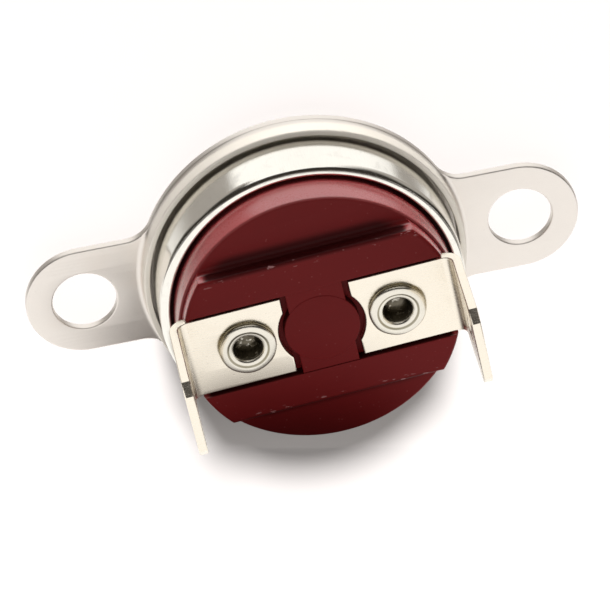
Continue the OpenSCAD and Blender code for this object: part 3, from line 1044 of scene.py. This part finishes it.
@dataclass
class MouldedBody:
    """Pressed body: drum with two half-moon steps, cross bar, pockets, land and boss.

    A sink or lap is how far a part reaches into its neighbour; a hair keeps two faces apart.
    """

    finish: Finish
    turn: float = PLAN.turn
    base: float = LEVELS.groove_high + 0.195
    shoulder_r: float = 7.9
    shoulder_top: float = LEVELS.lip - 0.417
    shoulder_edge_r: float = 0.05
    radius: float = PLAN.body_r
    crimped_h: float = 0.6
    step: float = LEVELS.step
    top: float = LEVELS.bar
    bar_r: float = PLAN.bar_r
    bar_half: float = PLAN.bar_half
    bar_sink: float = 0.15
    pocket_half: float = 2.55
    pocket_floor: float = LEVELS.pocket
    pocket_lap: float = 0.05
    land_half: float = 1.55
    land_top: float = LEVELS.land
    land_sink: float = 0.1
    boss_r: float = 2.05
    boss_h: float = 0.03
    boss_edge_r: float = 0.06
    edge_r: float = 0.2
    foot_r: float = 0.3
    pocket_edge_r: float = 0.07
    floor_edge_r: float = 0.08
    hole_edge_r: float = 0.02
    hair: float = 0.01
    roof: float = LEVELS.roof
    chamber_r: float = 6.6
    chamber_half: float = 3.5

    def rivet_holes(self) -> list[list[Flat]]:
        """Gives the outlines of the two rivet holes, clockwise."""
        return [hole(side * PLAN.rivet_x, PLAN.rivet_hole_r, steps=48) for side in (-1, 1)]

    def drum(self, skin: Skin) -> None:
        """Adds the round part with its underside and contact chamber.

        Args:
            skin: The body's skin.
        """
        shoulder, top, corner = self.shoulder_edge_r, self.shoulder_top, self.edge_r
        outside = [(self.shoulder_r, self.base), (self.shoulder_r, top - 2 * shoulder),
            *arc(self.shoulder_r - shoulder, top - shoulder, shoulder, 0, 90, steps=3),
            (self.radius, top), (self.radius, top + self.crimped_h),
            *arc(self.radius - corner, self.step - corner, corner, 0, 90, steps=8)]
        turns = [math.tau * i / 240 for i in range(240)]
        numbers = skin.rows([[(r * math.cos(t), r * math.sin(t), z) for t in turns]
            for r, z in outside])
        bores = [skin.rows([[(x, y, z) for x, y in outline] for z in (self.roof, self.step)])
            for outline in self.rivet_holes()]
        skin.cap([numbers[-1], *(bore[1] for bore in bores)])
        plan = band(self.chamber_r, -self.chamber_half, self.chamber_half, steps=24)
        chamber = skin.rows([[(x, y, z) for x, y in plan] for z in (self.base, self.roof)])
        skin.cap([numbers[0], chamber[0]])
        skin.cap([chamber[1], *(bore[0] for bore in bores)])

    def wall(self, skin: Skin, side: int) -> None:
        """Adds one long wall of the bar, from the step to the top.

        Args:
            skin: The body's skin.
            side: 1 for the +Y wall and -1 for the other.
        """
        levels = [(-self.foot_r, self.step - self.bar_sink, 0.0)]
        levels += [(-self.foot_r * (1 - math.sin(a)), self.step + self.foot_r * (1 - math.cos(a)),
            0.0) for a in quarter_turns(6)]
        levels += [(self.edge_r * (1 - math.cos(a)), self.top - self.edge_r * (1 - math.sin(a)),
            self.pocket_edge_r * (1 - math.cos(a))) for a in quarter_turns(6)]
        rows = []
        for drop, z, ease in levels:
            ends = band(self.bar_r - max(0.0, drop), self.pocket_half + ease,
                self.bar_half - drop, steps=10)
            row = [(x, side * y, z) for x, y in ends]
            rows.append(row if side > 0 else row[::-1])
        numbers = skin.rows(rows)
        skin.cap([numbers[0]])
        skin.cap([numbers[-1]])

    def middle(self, skin: Skin) -> None:
        """Adds the pocket floors, the land and its boss.

        Args:
            skin: The body's skin.
        """
        half = self.pocket_half + self.pocket_lap
        floor_edge, bore_edge = (rounded_rim(self.step - self.bar_sink, self.pocket_floor,
            self.hair, radius) for radius in (self.floor_edge_r, self.hole_edge_r))
        skin.slab(band(self.bar_r - self.hair, -half, half, steps=20), lambda point: floor_edge,
            [(outline, bore_edge) for outline in self.rivet_holes()])
        bulge = math.degrees(math.acos(self.land_half / self.boss_r))
        land = [(self.land_half, -half), *arc(0, 0, self.boss_r, -bulge, bulge, steps=24),
            (self.land_half, half), (-self.land_half, half),
            *arc(0, 0, self.boss_r, 180 - bulge, 180 + bulge, steps=24), (-self.land_half, -half)]
        land_edge = rounded_rim(self.pocket_floor - self.land_sink, self.land_top, self.hair,
            self.pocket_edge_r)
        skin.slab(land, lambda point: land_edge)
        boss_r, crown, edge = self.boss_r - self.hair, self.land_top + self.boss_h, self.boss_edge_r
        skin.lathe([(0, self.pocket_floor), (boss_r, self.pocket_floor),
            *arc(boss_r - edge, crown - edge, edge, 0, 90, steps=5), (0, crown)],
            steps=144, closed=False)

    def build(self) -> bpy.types.Object:
        """Makes the body.

        Returns:
            The piece.
        """
        skin = Skin()
        self.drum(skin)
        for side in (-1, 1):
            self.wall(skin, side)
        self.middle(skin)
        return skin.piece("switch_body_moulding", self.finish, "housing", "switch_body", self.turn)


@dataclass
class Terminal:
    """One folded strip: plate in its pocket, bend and upright tab with a bevelled tip."""

    finish: Finish
    end: End
    half_w: float = 2.4
    sheet: float = LEVELS.strip
    plate_top: float = LEVELS.plate
    plate_end: float = 1.85
    plate_row: float = 4.0
    hollow_r: float = 2.35
    bend_x: float = 6.95
    bend_r: float = 0.5
    bend_cuts: int = 14
    tip: float = LEVELS.tip
    chamfer: float = 0.6
    tip_edge: Flat = (0.16, 0.13)
    side_edge: Flat = (0.09, 0.06)
    hole_edge: Flat = (0.05, 0.05)
    tab_hole_r: float = 0.7
    tab_hole_inset: float = 2.2
    tab_cuts: tuple[float, ...] = (0.8, 1.4, 3.1)
    weld: float = 1e-5
    crease: float = 32.0

    @property
    def bend_length(self) -> float:
        """Gives the length of strip in the bend, along its middle."""
        return math.pi / 2 * (self.bend_r + self.sheet / 2)

    @property
    def strip_end(self) -> float:
        """Gives where the strip's tip lies before it is folded."""
        return self.bend_x + self.bend_length + self.tip - self.plate_top - self.bend_r

    def folded(self, point: Vector) -> Vector:
        """Moves a point of the flat strip to its place on the folded one.

        Args:
            point: Length along the strip, place across it and depth below its upper face.

        Returns:
            The place in the switch, for the end at +X.
        """
        along, across, depth = point
        over = along - self.bend_x
        if over <= 0:
            return Vector((along, across, self.plate_top - depth))
        reach = self.bend_r + depth
        swing = min(over / self.bend_length, 1.0) * math.pi / 2
        rise = max(0.0, over - self.bend_length)
        return Vector((self.bend_x + reach * math.sin(swing), across,
            self.plate_top + self.bend_r - reach * math.cos(swing) + rise))

    def fold(self, work: bmesh.types.BMesh) -> None:
        """Cuts the flat strip across its bend, folds it and turns it to its end.

        Args:
            work: The flat strip's mesh, which is changed.
        """
        cuts = [self.bend_x + self.bend_length * i / self.bend_cuts
            for i in range(self.bend_cuts + 1)]
        cuts += [self.strip_end - back for back in self.tab_cuts]
        for cut in cuts:
            bmesh.ops.bisect_plane(work, geom=[*work.verts, *work.edges, *work.faces],
                plane_co=(cut, 0, 0), plane_no=(1, 0, 0), dist=self.weld)
        for vertex in work.verts:
            x, y, z = self.folded(vertex.co)
            vertex.co = self.end.value * x, self.end.value * y, z

    def rim(self, point: Flat) -> list[Flat]:
        """Gives the strip's edge: bevelled at the tip, rolled over along the sides.

        Args:
            point: A point of the flat outline.

        Returns:
            (inset, depth) pairs.
        """
        at_tip = point[0] > self.strip_end - self.chamfer / 2
        return rounded_rim(0.0, self.sheet, *(self.tip_edge if at_tip else self.side_edge), steps=4)

    def build(self) -> None:
        """Makes the terminal."""
        w, row, tip = self.half_w, self.plate_row, self.strip_end
        bite = math.degrees(math.acos(self.plate_end / self.hollow_r))
        outline = [(self.plate_end, w), *arc(0, 0, self.hollow_r, bite, -bite, steps=16),
            (self.plate_end, -w), (row, -w), (self.bend_x, -w), (tip - self.chamfer, -w),
            (tip, -w + self.chamfer), (tip, w - self.chamfer), (tip - self.chamfer, w),
            (self.bend_x, w), (row, w)]
        hole_edge = rounded_rim(0.0, self.sheet, *self.hole_edge, steps=3)
        skin = Skin()
        skin.slab(outline, self.rim, [(hole(x, radius, steps=48), hole_edge) for x, radius in (
            (PLAN.rivet_x, PLAN.rivet_hole_r), (tip - self.tab_hole_inset, self.tab_hole_r))])
        skin.piece(f"{self.end.word}_terminal_strip", self.finish, "housing",
            f"{self.end.word}_terminal", PLAN.turn, self.fold, self.crease)


@dataclass
class Rivet:
    """Semi-tubular rivet: flat head in the chamber, shank, and a hollow end rolled over."""

    finish: Finish
    end: End
    clamped: float
    roof: float = LEVELS.roof
    plate_top: float = LEVELS.plate
    head_r: float = 1.45
    head_h: float = 0.5
    head_edge_r: float = 0.06
    shank_r: float = 0.95
    bore_depth: float = 1.5
    rim_r: float = 1.575
    rim_h: float = 0.42
    rim_foot: Rim = ((0.07, 0.0), (0.02, 0.05), (0.0, 0.13))
    rim_roll_r: float = 0.24
    rim_flat: float = 0.03
    wobble: Flat = (0.012, 0.008)
    lip: tuple[Point, ...] = ((1.20, 1.0, 0.005), (1.13, 1.0, 0.02), (1.07, 0.5, 0.07),
        (1.0, 0.0, 0.085), (0.93, 0.0, 0.09), (0.85, 0.0, 0.13), (0.79, 0.0, 0.22),
        (0.75, 0.0, 0.34))
    pit: Rim = ((0.74, 0.45), (0.69, 0.24), (0.53, 0.10), (0.32, 0.04), (0.20, 0.03), (0.10, 0.0),
        (0.0, 0.0))

    def section(self, turn: float) -> list[Flat]:
        """Gives the rivet's section, whose rolled edge is not quite round.

        Args:
            turn: Angle about the rivet's axis in radians.

        Returns:
            Points from the head's middle round to the bottom of the hollow.
        """
        seat = self.roof - self.clamped
        head, edge = seat - self.head_h, self.head_edge_r
        top = self.plate_top + self.rim_h
        floor = top - self.bore_depth
        wide, narrow = self.wobble
        wave = wide * math.sin(3 * turn + 0.6) + narrow * math.sin(7 * turn)
        outer = self.rim_r - wide - narrow + wave
        roll = self.rim_roll_r
        return [(0, head), (self.head_r - edge, head),
            *arc(self.head_r - edge, head + edge, edge, -80, 0, steps=3), (self.head_r, seat),
            (self.shank_r, seat), (self.shank_r, self.plate_top),
            *((outer - back, self.plate_top + up) for back, up in self.rim_foot),
            *arc(outer - roll, top - roll - self.rim_flat, roll, 5, 80, steps=9),
            *((r + wave * share, top - drop) for r, share, drop in self.lip),
            *((r, floor + up) for r, up in self.pit)]

    def build(self) -> None:
        """Makes the rivet."""
        skin = Skin()
        skin.lathe(self.section, steps=120, centre=(self.end.value * PLAN.rivet_x, 0.0),
            closed=False)
        skin.piece(f"{self.end.word}_rivet_rolled", self.finish, "housing",
            f"{self.end.word}_rivet", PLAN.turn)


@dataclass
class InnerWorks:
    """Pieces inside the cup that keep their solids and get a finish each."""

    finishes: dict[str, Finish]

    def build(self) -> None:
        """Puts each finish in its solid's material slots."""
        for name, finish in self.finishes.items():
            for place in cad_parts[name].material_slots:
                place.material = finish.material()
            LOG.info("%s: solid dressed in %s", name, finish.name)


@dataclass
class Studio:
    """Camera, lamp, world, floor and reflector.

    The world's fades are cosines to the camera's up, right and back axes.
    """

    lens: float = 327.13
    sensor: float = 36.0
    clip: Flat = (0.01, 20.0)
    distance: float = 300.0
    aim: Point = (0.0, 0.0, 1.9)
    right: Point = (0.98002, -0.12689, 0.15316)
    up: Point = (0.19098, 0.81549, -0.54635)
    back: Point = (-0.05557, 0.56469, 0.82343)
    slide: Flat = (0.13, -2.515)
    white: Colour = (1.0, 0.985, 0.965)
    room: Colour = (0.38, 0.355, 0.33)
    shade: Colour = (0.035, 0.031, 0.027)
    backdrop: Colour = (1.0, 0.98, 0.95)
    dim_and_painted_shadow: Colour = (0.10, 0.085, 0.08)
    box_foot: Flat = (0.56, 0.60)
    box_left: Flat = (-0.55, -0.52)
    box_right: Flat = (0.66, 0.30)
    box_hot: Flat = (0.80, 0.86)
    box_gains: Flat = (0.7, 5.0)
    box_shine: float = 1.15
    horizon_foot: Flat = (-0.05, 0.0)
    horizon_top: Flat = (0.42, 0.26)
    horizon_end: Flat = (-0.55, -0.25)
    camera_side: Flat = (0.05, 0.50)
    backdrop_side: Flat = (-0.55, -0.85)
    backdrop_top: Flat = (0.45, 0.25)
    table_edge: Flat = (0.0, -0.05)
    table_near: Flat = (0.9, 0.6)
    card_gap: float = 11.5
    card_reach: float = 250.0
    card_glow: float = 1.12
    card_fade: Flat = (50.0, 80.0)
    card_side: Flat = (-0.55, -0.25)
    contact_at: Flat = (-1.0, 2.5)
    contact_size: Flat = (9.0, 5.5)
    contact_fade: Flat = (0.62, 1.30)
    floor_tone: Colour = (0.31, 0.295, 0.29)
    floor_z: float = -0.02
    floor_reach: float = 3000.0
    lamp_from: Point = (0.02, 0.72, 0.69)
    lamp_angle: float = 11.0
    lamp_energy: float = 13.0
    ground: bpy.types.Object | None = None

    def camera(self) -> None:
        """Sets up the camera at the photograph's angle."""
        right, up, back = Vector(self.right), Vector(self.up), Vector(self.back)
        data = bpy.data.cameras.new("studio_camera")
        data.lens, data.sensor_width = self.lens, self.sensor
        data.clip_start, data.clip_end = self.clip
        made = bpy.data.objects.new("studio_camera", data)
        bpy.context.scene.collection.objects.link(made)
        stand = (Vector(self.aim) + back * self.distance + right * self.slide[0]
            + up * self.slide[1])
        pose = Matrix((right, up, back)).transposed().to_4x4()
        pose.translation = stand * MM
        made.matrix_world = pose
        bpy.context.scene.camera = made

    def world(self) -> None:
        """Makes a grey room with a wide soft box over the +Y side and dark behind the camera.

        Metal sees the soft box as plain white; dull surfaces get its full strength.
        """
        made = bpy.data.worlds.new("studio_world")
        bpy.context.scene.world = made
        made.use_nodes = True
        made.cycles.sampling_method = "NONE"
        paint = Paint(made.node_tree)
        towards = paint.add("ShaderNodeTexCoord", None, None, "Generated")
        high, front, across = (paint.along(towards, axis)
            for axis in (self.up, self.back, self.right))
        box = (high.ramp(*self.box_foot) * across.ramp(*self.box_left)
            * across.ramp(*self.box_right))
        horizon = (high.ramp(*self.horizon_foot) * high.ramp(*self.horizon_top)
            * front.ramp(*self.horizon_end))
        dark = paint.maths("MAXIMUM", front.ramp(*self.camera_side), horizon)
        behind = front.ramp(*self.backdrop_side) * high.ramp(*self.backdrop_top)
        table = high.ramp(*self.table_edge) * front.ramp(*self.table_near)
        dull, seen = (paint.add("ShaderNodeLightPath", None, None, ray)
            for ray in ("Is Diffuse Ray", "Is Camera Ray"))
        room = paint.mixed(self.room, self.backdrop, behind)
        room = paint.mixed(room, self.shade, dark)
        room = paint.mixed(room, self.white, table)
        faint, strong, bright = (tuple(c * gain for c in self.white)
            for gain in (*self.box_gains, self.box_shine))
        lit = paint.mixed(faint, strong, high.ramp(*self.box_hot))
        room = paint.mixed(room, paint.mixed(bright, lit, dull), box)
        light = paint.add("ShaderNodeBackground", None,
            {"Color": paint.mixed(room, (1.0, 1.0, 1.0), seen), "Strength": 1.0})
        paint.add("ShaderNodeOutputWorld", None, {"Surface": light})

    def sheet(self, name: str, corners: Sequence[Point],
              paint_it: Callable[[Paint], Channel]) -> bpy.types.Object:
        """Adds a flat sheet of the studio, which isn't part of the object.

        Args:
            name: The sheet's name.
            corners: Its corners in millimetres.
            paint_it: Adds the sheet's shader to a paint.

        Returns:
            The sheet.
        """
        mesh = bpy.data.meshes.new(name)
        mesh.from_pydata([tuple(v * MM for v in corner) for corner in corners], [], [(0, 1, 2, 3)])
        made = bpy.data.objects.new(name, mesh)
        bpy.context.scene.collection.objects.link(made)
        material = bpy.data.materials.new(name)
        material.use_nodes = True
        paint = Paint(material.node_tree)
        paint.add("ShaderNodeOutputMaterial", None, {"Surface": paint_it(paint)})
        mesh.materials.append(material)
        return made

    def card_paint(self, paint: Paint) -> Channel:
        """Makes the reflector's glow, with a painted shadow where the object almost touches it.

        Args:
            paint: The reflector's nodes.

        Returns:
            Its shader.
        """
        spot = paint.place()
        a, b = (paint.along(spot, axis) for axis in (self.right, self.back))
        away = span(a, b)
        far = away.ramp(*self.card_fade) * (b / away).ramp(*self.card_side)
        # painted shadow: the glow fades to a dark spot where the object almost touches the sheet
        near = span(*((v - at) / size
            for v, at, size in zip((a, b), self.contact_at, self.contact_size)))
        lit = near.ramp(*self.contact_fade) * (1.0 - far)
        return paint.add("ShaderNodeEmission", None,
            {"Color": paint.mixed(self.dim_and_painted_shadow, self.white, lit), "Strength": self.card_glow})

    def floor_paint(self, paint: Paint) -> Channel:
        """Makes a dull floor that is clear from below, so that the underside can be seen.

        Args:
            paint: The floor's nodes.

        Returns:
            Its shader.
        """
        dull = paint.add("ShaderNodeBsdfDiffuse", None, {"Color": (*self.floor_tone, 1.0)})
        clear = paint.add("ShaderNodeBsdfTransparent")
        below = paint.add("ShaderNodeNewGeometry", None, None, "Backfacing")
        return paint.add("ShaderNodeMixShader", None, {0: below, 1: dull, 2: clear})

    def surroundings(self) -> None:
        """Lays the floor and leans the reflector, both out of the way of the room's light."""
        signs = (-1, -1), (1, -1), (1, 1), (-1, 1)
        reach = self.floor_reach
        self.ground = self.sheet("studio_floor", [(reach * i, reach * j, self.floor_z)
            for i, j in signs], self.floor_paint)
        for ray in ("visible_diffuse", "visible_glossy", "visible_transmission", "visible_shadow"):
            setattr(self.ground, ray, False)
        right, up, back = (Vector(v) for v in (self.right, self.up, self.back))
        card = self.sheet("studio_reflector", [tuple((right * i + back * j) * self.card_reach
            - up * self.card_gap) for i, j in signs], self.card_paint)
        card.visible_camera = False

    def floor_lamp(self, casters: Sequence[bpy.types.Object]) -> None:
        """Adds the lamp that lights the floor and throws the object's shadow on it.

        Args:
            casters: The pieces whose shadow shows.
        """
        data = bpy.data.lights.new("floor_lamp", "SUN")
        data.energy, data.angle = self.lamp_energy, math.radians(self.lamp_angle)
        made = bpy.data.objects.new("floor_lamp", data)
        bpy.context.scene.collection.objects.link(made)
        made.rotation_euler = Vector(self.lamp_from).to_track_quat("Z", "Y").to_euler()
        for name, members, role in (("lit_floor", [self.ground], "receiver_collection"),
                ("shadow_casters", casters, "blocker_collection")):
            group = bpy.data.collections.new(name)
            for member in members:
                group.objects.link(member)
            setattr(made.light_linking, role, group)

    def build(self) -> None:
        """Sets the view transform and makes everything round the object but the lamp."""
        bpy.context.scene.view_settings.view_transform = "Standard"
        self.camera()
        self.world()
        self.surroundings()
        LOG.info("studio: camera, world, floor and reflector")


def main() -> None:
    """Builds the studio and the sub-assemblies, in order."""
    logging.basicConfig(level=logging.INFO, format="%(message)s")
    studio = Studio()
    studio.build()
    aluminium = DrawnAluminium("bright_drawn_aluminium", "cup_aluminium", (0.93, 0.908, 0.842),
        roughness=0.12)
    plate = SatinPlate("satin_plated_steel", "bracket_steel", (0.85, 0.80, 0.75), roughness=0.38)
    phenolic = RedPhenolic("pressed_red_phenolic", "body_phenolic", (0.141, 0.0065, 0.0072),
        metallic=0.0, roughness=0.46)
    tinned = TinnedStrip("tinned_strip", "terminal_tinned", (0.95, 0.88, 0.76), roughness=0.27)
    SensingCup(aluminium).build()
    EarBracket(plate).build()
    body = MouldedBody(phenolic).build()
    studio.floor_lamp([body])
    for end, clamped in ((End.FIXED, 0.3), (End.MOVING, 0.2)):
        Terminal(tinned, end).build()
        nickel = RolledNickel(f"rolled_nickel_{end.word}", "rivet_nickelled", (0.84, 0.80, 0.71),
            roughness=0.26, centre_x=end.value * PLAN.rivet_x)
        Rivet(nickel, end, clamped).build()
    silver = (0.90, 0.89, 0.86)
    InnerWorks({
        "contact_spring": Finish("spring_bronze_strip", "spring_bronze", (0.78, 0.52, 0.32),
            roughness=0.28, grain=0.08),
        "contact_carrier": Finish("carrier_brass_strip", "carrier_brass", (0.80, 0.62, 0.32),
            roughness=0.30, grain=0.08),
        "moving_contact": Finish("moving_silver_button", "contact_silver", silver,
            roughness=0.20, grain=0.05),
        "fixed_contact": Finish("fixed_silver_button", "contact_silver", silver,
            roughness=0.20, grain=0.05),
        "transfer_pin": Finish("fired_ceramic", "pin_ceramic", (0.80, 0.77, 0.69),
            metallic=0.0, roughness=0.55, grain=0.10),
        "pin_guide": Finish("brown_phenolic", "guide_phenolic", (0.09, 0.045, 0.028),
            metallic=0.0, roughness=0.50, grain=0.10),
        "snap_disc": Finish("rolled_bimetal", "disc_bimetal", (0.62, 0.58, 0.53),
            roughness=0.32, grain=0.06),
    }).build()


if __name__ == "__main__":
    main()
